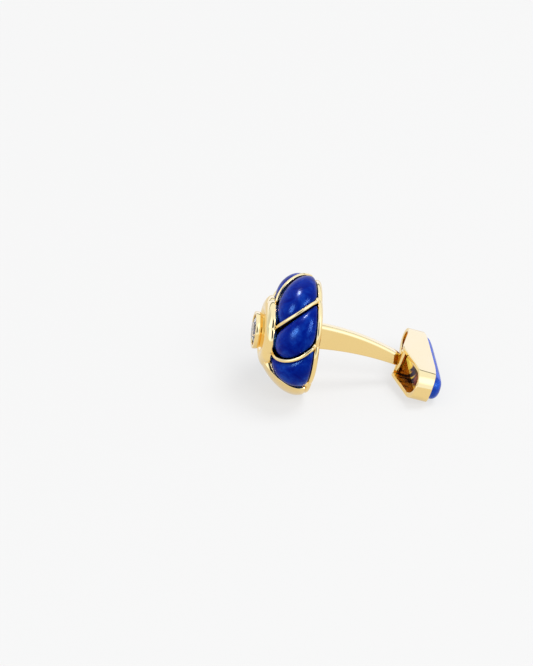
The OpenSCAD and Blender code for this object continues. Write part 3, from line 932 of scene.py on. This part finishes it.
def lapis_material(name, looks, tones, gloss, tint):
    """Polished lapis lazuli, with three tones of blue: dark, middle and light."""
    if name in bpy.data.materials:
        return bpy.data.materials[name]
    material, n, shader = new_material(name)
    shader["IOR"].default_value = 1.5
    shader["Specular IOR Level"].default_value = gloss
    shader["Specular Tint"].default_value = (*tint, 1)
    clouds = n.add("ShaderNodeGroup", node_tree=stone_group())
    dark, middle, light = tones
    blue = n.mix(clouds.outputs["Light"], middle, light)
    for mask, tone in (("Dark", dark), ("Vein", dark), ("Grain", PALE_GRAIN)):
        blue = n.mix(clouds.outputs[mask], blue, tone)
    n.link(blue, shader["Base Color"])
    add_polish(n, shader, grain=700.0, smooth=looks.stone_roughness, worn=looks.stone_roughness * 1.2, bump=0.2e-7)
    return material


def diamond_material():
    """Clear diamond, with painted dark reflections on some facets and painted warm fire on others."""
    if "clear diamond" in bpy.data.materials:
        return bpy.data.materials["clear diamond"]
    material, n, shader = new_material("clear diamond")
    shader["Transmission Weight"].default_value = 1.0
    shader["IOR"].default_value = 2.42
    # each facet faces its own way, so a cloud laid over the directions gives each facet its own painted reflection:
    # darker, clear or warm fire
    fire = n.clouds(n.place("Normal"), scale=2.6, detail=1)
    darker, painted_fire = n.map_range(fire, 0.38, 0.46, 1, 0), n.map_range(fire, 0.54, 0.6)
    tone = n.mix(darker, (1.0, 0.87, 0.66), (0.6, 0.51, 0.38))
    n.link(n.mix(painted_fire, tone, (1.0, 0.55, 0.16)), shader["Base Color"])
    add_polish(n, shader, grain=900.0, smooth=0.0, worn=0.02, bump=2e-8)
    return material


def floor_material(looks):
    """A pale table top that also glows a little from below, so shadows on it stay light."""
    material, n, shader = new_material("pale table")
    shader["Specular IOR Level"].default_value = 0.0
    shader["Roughness"].default_value = 0.9
    shader["Emission Strength"].default_value = 1.0
    n.link(n.mix(n.clouds(n.place(), scale=40), looks.floor, [c * 0.998 for c in looks.floor]), shader["Base Color"])
    seen = n.add("ShaderNodeLightPath").outputs["Is Camera Ray"]
    n.link(n.mix(seen, (looks.floor_glow_mirrored,) * 3, (looks.floor_glow,) * 3), shader["Emission Color"])
    return material


# What a user can change


def size_property(name, description, default):
    """A size in metres."""
    return FloatProperty(name=name, description=description, default=default, unit="LENGTH")


def share_property(name, description, default):
    """A share from 0 to 1."""
    return FloatProperty(name=name, description=description, default=default, subtype="FACTOR", min=0, max=1)


def colour_property(name, description, default, **limits):
    """A colour, as linear numbers."""
    return FloatVectorProperty(name=name, description=description, default=default, subtype="COLOR", **limits)


class CufflinkSizes(bpy.types.PropertyGroup):
    """Sizes that a user would change"""

    ring_radius: size_property("Ring radius", "Circle that the lobes swell around", 0.005)
    ring_height: size_property("Ring height", "Its height over the plate's back", 0.00225)
    swell_out: size_property("Swell outwards", "How far a stone's crest stands out", 0.00475)
    swell_forward: size_property("Swell forwards", "How far a stone's crest stands forward", 0.00425)
    edge_share: share_property("Edge share", "Share of the swell left at a stone's edges", 0.83)
    corner: size_property("Stone corners", "Rounding of a stone's corners", 0.0006)
    plate_corner: size_property("Low corner", "Rounding of its low corner at the plate", 0.0011)
    stone_play: size_property("Stone play", "Dark gap between a stone and a wire", 0.00016)
    twist: FloatProperty(name="Twist", description="Turn of the lobes from plate to collar",
                         default=math.radians(28.7), subtype="ANGLE")
    twist_lead: share_property("Early twist", "Share of the turn taken near the plate", 0.54)
    wire: size_property("Wire", "Diameter of the wires", 0.00055)
    wire_out: size_property("Wire outwards", "How far the wires stand out", 0.0043)
    wire_forward: size_property("Wire forwards", "How far the wires stand forward", 0.0042)
    gold_edge: size_property("Gold lobe edge", "Rounding of the gold lobe's edges", 0.00014)
    collar_scallop: size_property("Collar scallops", "Bulge of the collar's edge over each stone", 0.0003)
    collar_gain: size_property("Collar gain", "How far the collar's edge hangs over the stones", 0.00048)
    plate_radius: size_property("Plate radius", "Plate's radius at a scallop", 0.00895)
    plate_thickness: size_property("Plate thickness", "Thickness of the plate", 0.00092)
    bead: size_property("Bead", "Diameter of the beads on the plate at the wires", 0.001)
    post_top: size_property("Post top", "Height of the post's top over the axis, at the plate", 0.00225)
    post_foot: size_property("Post foot", "Depth of the post's foot below the axis, at the plate", 0.00201)
    post_thickness: size_property("Post thickness", "Thickness of the post", 0.00175)
    post_edge: size_property("Post edges", "Rounding of the post's long edges", 0.00055)
    barrel_radius: size_property("Barrel radius", "Radius of the hinge barrel", 0.0006)
    diamond: size_property("Diamond", "Diameter of the diamond", 0.0047)
    toggle_length: size_property("Toggle length", "Toggle from end to end", 0.0175)
    toggle_height: size_property("Toggle height", "Toggle across its flat walls", 0.00496)
    toggle_wall: size_property("Toggle wall", "Thickness of the walls", 0.00058)
    toggle_rim_gain: size_property("Toggle rim gain", "Extra width of the opening's rim", 0.00028)
    toggle_rim: size_property("Toggle rim", "Rounding of the walls' edges round the opening", 0.00012)
    toggle_edge: size_property("Toggle edges", "Rounding of the walls' edges at the stone", 0.00009)
    toggle_bow: size_property("Toggle bow", "How far the stone's edge of the walls falls back at the ends", 0.00055)
    toggle_skew: size_property("Toggle skew", "Shift of the lower wall's peak to the near side", 0.001)
    peak_depth: size_property("Depth at the peaks", "Depth of the toggle at its peaks", 0.005)
    end_depth: size_property("Depth at the ends", "Depth of the toggle at its round ends", 0.00305)
    stone_rise: size_property("Bar stone rise", "Rise of the toggle's stone", 0.0013)
    stone_droop: size_property("Bar stone droop", "Fall of the toggle's stone at its ends", 0.0004)
    stone_round: size_property("Bar stone rounding", "Rounding of that stone", 0.00115)
    stone_rows: IntProperty(name="Stone rows", description="Rows of points along a stone", default=73, min=9)
    stone_columns: IntProperty(name="Stone columns", description="Columns of points across a stone", default=49,
                               min=9)


class CufflinkLooks(bpy.types.PropertyGroup):
    """Colours, finishes and light that a user would change"""

    gold: colour_property("Gold", "Colour of the gold", (0.955, 0.714, 0.32))
    gold_deep: colour_property("Deeper gold", "Its deeper tone", (0.95, 0.69, 0.272))
    gold_roughness: share_property("Gold roughness", "Roughness of the polish", 0.045)
    # the amber inside the toggle is a painted reflection of the gold in itself, and the colour in the depth is
    # painted shade
    inside: colour_property("Inside the toggle", "Colour of the unpolished gold there", (0.97, 0.56, 0.025))
    inside_painted_shade: colour_property("Depth of the toggle", "Its colour in the depth", (0.3, 0.05, 0.003))
    # the bed's near black is painted shade in the gaps round the stones
    bed: colour_property("Bed", "Colour of the dark bed round the stones", (0.012, 0.008, 0.005))
    stone: colour_property("Lapis", "Main blue of the stone", (0.001, 0.0145, 0.193))
    stone_dark: colour_property("Dark lapis", "Blue of its dark clouds", (0.0004, 0.0038, 0.14))
    stone_light: colour_property("Light lapis", "Blue of its light clouds", (0.008, 0.055, 0.3))
    stone_shine: colour_property("Stone shine", "Tint of the stone's mirror", (0.2, 0.6, 1.0))
    stone_gloss: share_property("Stone gloss", "Strength of the stone's mirror", 0.06)
    stone_roughness: share_property("Stone roughness", "Roughness of the stone's polish", 0.21)
    bar: colour_property("Bar stone", "Main blue of the toggle's stone", (0.0012, 0.05, 0.38))
    bar_dark: colour_property("Dark bar stone", "Blue of its dark clouds", (0.0006, 0.025, 0.28))
    bar_light: colour_property("Light bar stone", "Blue of its light clouds", (0.006, 0.09, 0.5))
    bar_shine: colour_property("Bar stone shine", "Tint of that stone's mirror", (0.35, 0.6, 1.0))
    bar_gloss: share_property("Bar stone gloss", "Strength of that stone's mirror", 0.6)
    light: colour_property("Studio light", "Light from all round", (1.02, 1.2, 1.68), max=10)
    floor: colour_property("Floor", "Colour of the floor, against the tint of the light", (0.11, 0.094, 0.0665))
    floor_glow: FloatProperty(name="Floor glow", description="Light that comes through the floor", default=0.685,
                              min=0)
    floor_glow_mirrored: FloatProperty(name="Floor glow in mirrors", default=0.625, min=0,
                                       description="The same light, as the gold mirrors it")


# The pieces


class CUFFLINK_OT_stones(bpy.types.Operator):
    """Makes the six twisted stone lobes"""

    bl_idname = "cufflink.stones"
    bl_label = "Stone lobes"

    def execute(self, context):
        sizes, looks = context.scene.cufflink_sizes, context.scene.cufflink_looks
        stone = lapis_material("lapis lazuli", looks, (looks.stone_dark, looks.stone, looks.stone_light),
                               looks.stone_gloss, looks.stone_shine)
        outer_faces = (sizes.stone_rows - 1) * (sizes.stone_columns - 1)

        def finish(face):
            """Polished outside, and painted shade on the sides and the back."""
            return face.index >= outer_faces

        for i in range(SECTORS - 1):
            make_piece(f"stone_lobe_{i + 1}", stone_shape(i, sizes), [stone, shade_bed_material(looks)], HEAD,
                       [f"lapis_{i + 1}"], crease=50, finish=finish)
        return {"FINISHED"}


class CUFFLINK_OT_wires(bpy.types.Operator):
    """Makes the gold wires between the stones"""

    bl_idname = "cufflink.wires"
    bl_label = "Gold wires"

    def execute(self, context):
        sizes, looks = context.scene.cufflink_sizes, context.scene.cufflink_looks
        for i in range(1, SECTORS - 1):
            make_piece(f"gold_wire_{i}", wire_shape(i, sizes), [gold_material(looks)], HEAD, [f"wire_{i}"])
        return {"FINISHED"}


class CUFFLINK_OT_frame(bpy.types.Operator):
    """Makes the collar, the setting and the gold lobe"""

    bl_idname = "cufflink.shell_frame"
    bl_label = "Collar, setting and gold lobe"

    def execute(self, context):
        sizes, looks = context.scene.cufflink_sizes, context.scene.cufflink_looks

        def finish(face):
            """Polished collar and setting, and painted shade under them."""
            return front_height(face.center) < PAINTED_SHADE_BELOW

        make_piece("collar_and_setting", frame_shape(sizes), [gold_material(looks), shade_bed_material(looks)], HEAD,
                   ["shell_frame"], crease=40, finish=finish)
        make_piece("gold_lobe_piece", gold_lobe_shape(sizes), [gold_material(looks)], HEAD, ["gold_lobe"])
        return {"FINISHED"}


class CUFFLINK_OT_diamond(bpy.types.Operator):
    """Makes the diamond with its facets"""

    bl_idname = "cufflink.diamond"
    bl_label = "Diamond"

    def execute(self, context):
        shape = diamond_shape(context.scene.cufflink_sizes)
        make_piece("brilliant", shape, [diamond_material()], HEAD, ["diamond"], crease=1)
        return {"FINISHED"}


class CUFFLINK_OT_plate(bpy.types.Operator):
    """Makes the scalloped plate with its post and barrel"""

    bl_idname = "cufflink.plate_and_post"
    bl_label = "Plate and post"

    def execute(self, context):
        sizes, looks = context.scene.cufflink_sizes, context.scene.cufflink_looks
        thick = sizes.plate_thickness / MM
        bead_top = thick + sizes.bead / MM
        satin_from = -POST_END[0] - 0.3
        gold, dark, satin = range(3)

        def finish(face):
            """Polished, painted shade on the front under the stones, or satin with painted shade on the post's end
            inside the toggle.
            """
            height = front_height(face.center)
            upright, along = abs(face.normal @ Vector(UP)), abs(face.normal @ Vector(ALONG))
            # the post's end inside the toggle gets the satin gold with its painted shade and painted reflection
            if height < satin_from and off_barrel(face.center, sizes) and upright < 0.8:
                return satin
            on_bead = height < bead_top and along < 0.99
            # painted shade on the plate's front under the stones
            return dark if height > thick - 0.04 and not on_bead else gold

        make_piece("plate_with_post", plate_and_post_shape(sizes),
                   [gold_material(looks), shade_bed_material(looks), inside_painted_material(looks)], HEAD,
                   ["plate_and_post"], finish=finish)
        return {"FINISHED"}


class CUFFLINK_OT_toggle(bpy.types.Operator):
    """Makes the toggle's band and its stone, and gives the pin its gold"""

    bl_idname = "cufflink.toggle"
    bl_label = "Toggle"

    def execute(self, context):
        sizes, looks = context.scene.cufflink_sizes, context.scene.cufflink_looks
        bar = lapis_material("bright lapis lazuli", looks, (looks.bar_dark, looks.bar, looks.bar_light),
                             looks.bar_gloss, looks.bar_shine)

        def finish(face):
            """Polished outside, and satin inside, with painted reflection and painted shade."""
            return inside_toggle(face.center, sizes)

        make_piece("toggle_band", toggle_shape(sizes), [gold_material(looks), inside_painted_material(looks)], TOGGLE,
                   ["toggle_frame"], finish=finish)
        make_piece("toggle_bar_stone", toggle_stone_shape(sizes), [bar], TOGGLE, ["toggle_stone"], crease=50)
        pin = frame["nodes"]["hinge_pin"]
        pin.data.materials.clear()
        pin.data.materials.append(gold_material(looks))
        return {"FINISHED"}


# The stage

FLOOR_HALF = 3.0

# Soft panels round the cufflink: name, azimuth, elevation, half width and height in degrees, softness, colour
PANELS = (
    ("back wall", 15, 12, 60, 13, 0.25, (1.05, 1.24, 2.0)),
    ("left, low", -78, 18, 22, 18, 0.6, (0.7, 0.84, 1.2)),
    ("camera side", -174, 34, 17, 22, 0.3, (0.03, 0.033, 0.04)),
    ("gap over the back wall", 15, 31, 62, 3.5, 0.35, (0.1, 0.1, 0.1)),
    ("left softbox", -117, 26, 20, 20, 0.5, (1.6, 1.85, 2.6)),
    ("right softbox", 133, 42, 20, 16, 0.5, (1.6, 1.85, 2.6)),
)
# What the camera sees past the floor
PALE = (0.93, 0.93, 0.93, 1)

# Round lamps for some pieces only: name, what they light, azimuth, elevation and half width in degrees, distance in
# metres, radiance, colour
LAMPS = (
    ("left lamp", "stones", -117, 33, 14, 0.5, 75, (0.8, 0.78, 1.0)),
    ("right lamp", "stones", 131, 36, 15, 0.5, 60, (0.95, 0.78, 1.0)),
    ("spot lamp", "stones", -45, 68, 5.0, 0.5, 520, (1.0, 0.66, 0.72)),
    ("bar lamp", "bar", 131, 34, 13, 0.5, 3.5, (0.7, 0.88, 1.0)),
    ("floor lamp, low", "floor", 150, 42, 14, 3.0, 18.5, (0.6, 0.705, 1.0)),
    ("floor lamp, high", "floor", 90, 65, 14, 3.0, 27, (0.6, 0.705, 1.0)),
)
# How the names of the pieces begin that the lamps of each group light
RECEIVERS = {"stones": "stone_lobe", "bar": "toggle_bar_stone", "floor": "floor"}

# Angles in degrees, and places in millimetres
CAMERA = {"elevation": 28.8956, "azimuth": -3.2539, "roll": -1.133, "distance": 375.5998,
          "target": (-11.0725, 17.6772), "lens": 124.12}
SENSOR_HEIGHT = 36


def direction(azimuth, elevation):
    """Unit vector to a place in the studio: azimuth from the back (+Y) towards +X, in degrees."""
    a, e = math.radians(azimuth), math.radians(elevation)
    return np.array([math.sin(a) * math.cos(e), math.cos(a) * math.cos(e), math.sin(e)])


def make_floor(scene, looks):
    """The pale table top."""
    mesh = bpy.data.meshes.new("floor")
    corners = [(x * FLOOR_HALF, y * FLOOR_HALF, 0) for x, y in ((-1, -1), (1, -1), (1, 1), (-1, 1))]
    mesh.from_pydata(corners, [], [[0, 1, 2, 3]])
    mesh.materials.append(floor_material(looks))
    floor = bpy.data.objects.new("floor", mesh)
    scene.collection.objects.link(floor)


def make_studio(scene, looks):
    """Soft light from all round, with a few panels in it, and a pale background for the camera."""
    world = bpy.data.worlds.new("studio")
    scene.world = world
    world.use_nodes = True
    world.node_tree.nodes.clear()
    n = Nodes(world.node_tree)
    place = n.place("Generated")
    group = panel_group()
    light = looks.light
    for name, azimuth, elevation, wide, high, soft, tint in PANELS:
        middle, side = direction(azimuth, elevation), direction(azimuth + 90, 0)
        panel = n.add("ShaderNodeGroup", node_tree=group, label=name)
        values = {"Direction": place, "Middle": middle, "Side": side, "Top": np.cross(side, middle),
                  "Half Width": math.tan(math.radians(wide)), "Half Height": math.tan(math.radians(high)),
                  "Softness": soft}
        for key, value in values.items():
            n.give(panel.inputs[key], value)
        light = n.mix(panel.outputs["Mask"], light, tint)
    studio, pale = n.add("ShaderNodeBackground"), n.add("ShaderNodeBackground")
    n.link(light, studio.inputs["Color"])
    pale.inputs["Color"].default_value = PALE
    choose = n.add("ShaderNodeMixShader")
    n.link(n.add("ShaderNodeLightPath").outputs["Is Camera Ray"], choose.inputs[0])
    n.link(studio.outputs[0], choose.inputs[1])
    n.link(pale.outputs[0], choose.inputs[2])
    n.link(choose.outputs[0], n.add("ShaderNodeOutputWorld").inputs[0])


def make_lamps(scene):
    """Soft lamps, each for its own receivers, so that the rest is left to the studio."""
    groups = {}
    for group, start in RECEIVERS.items():
        groups[group] = bpy.data.collections.new(group)
        for piece in scene.objects:
            if piece.name.startswith(start):
                groups[group].objects.link(piece)
    for name, group, azimuth, elevation, wide, distance, radiance, tint in LAMPS:
        light = bpy.data.lights.new(name, "AREA")
        light.shape = "ELLIPSE"
        light.size = light.size_y = 2 * distance * math.tan(math.radians(wide))
        light.energy = radiance * math.pi * math.pi / 4 * light.size * light.size_y
        light.color = tint
        lamp = bpy.data.objects.new(name, light)
        scene.collection.objects.link(lamp)
        towards = Vector(direction(azimuth, elevation))
        lamp.location = towards * distance
        lamp.rotation_euler = (-towards).to_track_quat("-Z", "Y").to_euler()
        lamp.light_linking.receiver_collection = groups[group]
        # the lamps of the stones and of the bar only make highlights
        lamp.visible_diffuse = group == "floor"


def add_camera(scene):
    """The camera, at the photograph's angle and with its framing."""
    e, a, r = (math.radians(CAMERA[k]) for k in ("elevation", "azimuth", "roll"))
    back = np.array([math.sin(a) * math.cos(e), -math.cos(a) * math.cos(e), math.sin(e)])
    right = np.array([math.cos(a), math.sin(a), 0])
    up = np.cross(back, right)
    right, up = math.cos(r) * right + math.sin(r) * up, -math.sin(r) * right + math.cos(r) * up
    place = (np.array([*CAMERA["target"], 0]) + back * CAMERA["distance"]) * MM
    data = bpy.data.cameras.new("camera")
    data.sensor_fit = "VERTICAL"
    data.sensor_height = SENSOR_HEIGHT
    data.lens = CAMERA["lens"]
    data.clip_start, data.clip_end = 0.01, 20
    camera = bpy.data.objects.new("camera", data)
    scene.collection.objects.link(camera)
    rows = [[*row, p] for row, p in zip(np.stack([right, up, back], 1), place)]
    camera.matrix_world = Matrix(rows + [[0, 0, 0, 1]])
    scene.camera = camera


class CUFFLINK_OT_stage(bpy.types.Operator):
    """Makes the floor, the lights and the camera"""

    bl_idname = "cufflink.stage"
    bl_label = "Stage"

    def execute(self, context):
        scene = context.scene
        make_floor(scene, scene.cufflink_looks)
        make_studio(scene, scene.cufflink_looks)
        make_lamps(scene)
        add_camera(scene)
        scene.view_settings.view_transform = "Standard"
        return {"FINISHED"}


class CUFFLINK_PT_sidebar(bpy.types.Panel):
    """Lists the cufflink's pieces"""

    bl_idname = "CUFFLINK_PT_sidebar"
    bl_label = "Cufflink"
    bl_space_type = "VIEW_3D"
    bl_region_type = "UI"
    bl_category = "Cufflink"

    def draw(self, context):
        for operator in OPERATORS:
            self.layout.operator(operator.bl_idname)
        for group in (context.scene.cufflink_sizes, context.scene.cufflink_looks):
            box = self.layout.box()
            for name in group.__annotations__:
                box.prop(group, name)


OPERATORS = (CUFFLINK_OT_stones, CUFFLINK_OT_wires, CUFFLINK_OT_frame, CUFFLINK_OT_diamond, CUFFLINK_OT_plate,
             CUFFLINK_OT_toggle, CUFFLINK_OT_stage)
CLASSES = (CufflinkSizes, CufflinkLooks, *OPERATORS, CUFFLINK_PT_sidebar)


def register():
    """Adds the classes, and the sizes and looks of each scene."""
    for cls in CLASSES:
        bpy.utils.register_class(cls)
    bpy.types.Scene.cufflink_sizes = PointerProperty(type=CufflinkSizes)
    bpy.types.Scene.cufflink_looks = PointerProperty(type=CufflinkLooks)


def unregister():
    """Takes them away again."""
    del bpy.types.Scene.cufflink_sizes
    del bpy.types.Scene.cufflink_looks
    for cls in reversed(CLASSES):
        bpy.utils.unregister_class(cls)


def main():
    """Registers the add-on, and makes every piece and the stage."""
    register()
    bpy.ops.cufflink.stones()
    bpy.ops.cufflink.wires()
    bpy.ops.cufflink.shell_frame()
    bpy.ops.cufflink.diamond()
    bpy.ops.cufflink.plate_and_post()
    bpy.ops.cufflink.toggle()
    bpy.ops.cufflink.stage()


if __name__ == "__main__":
    main()
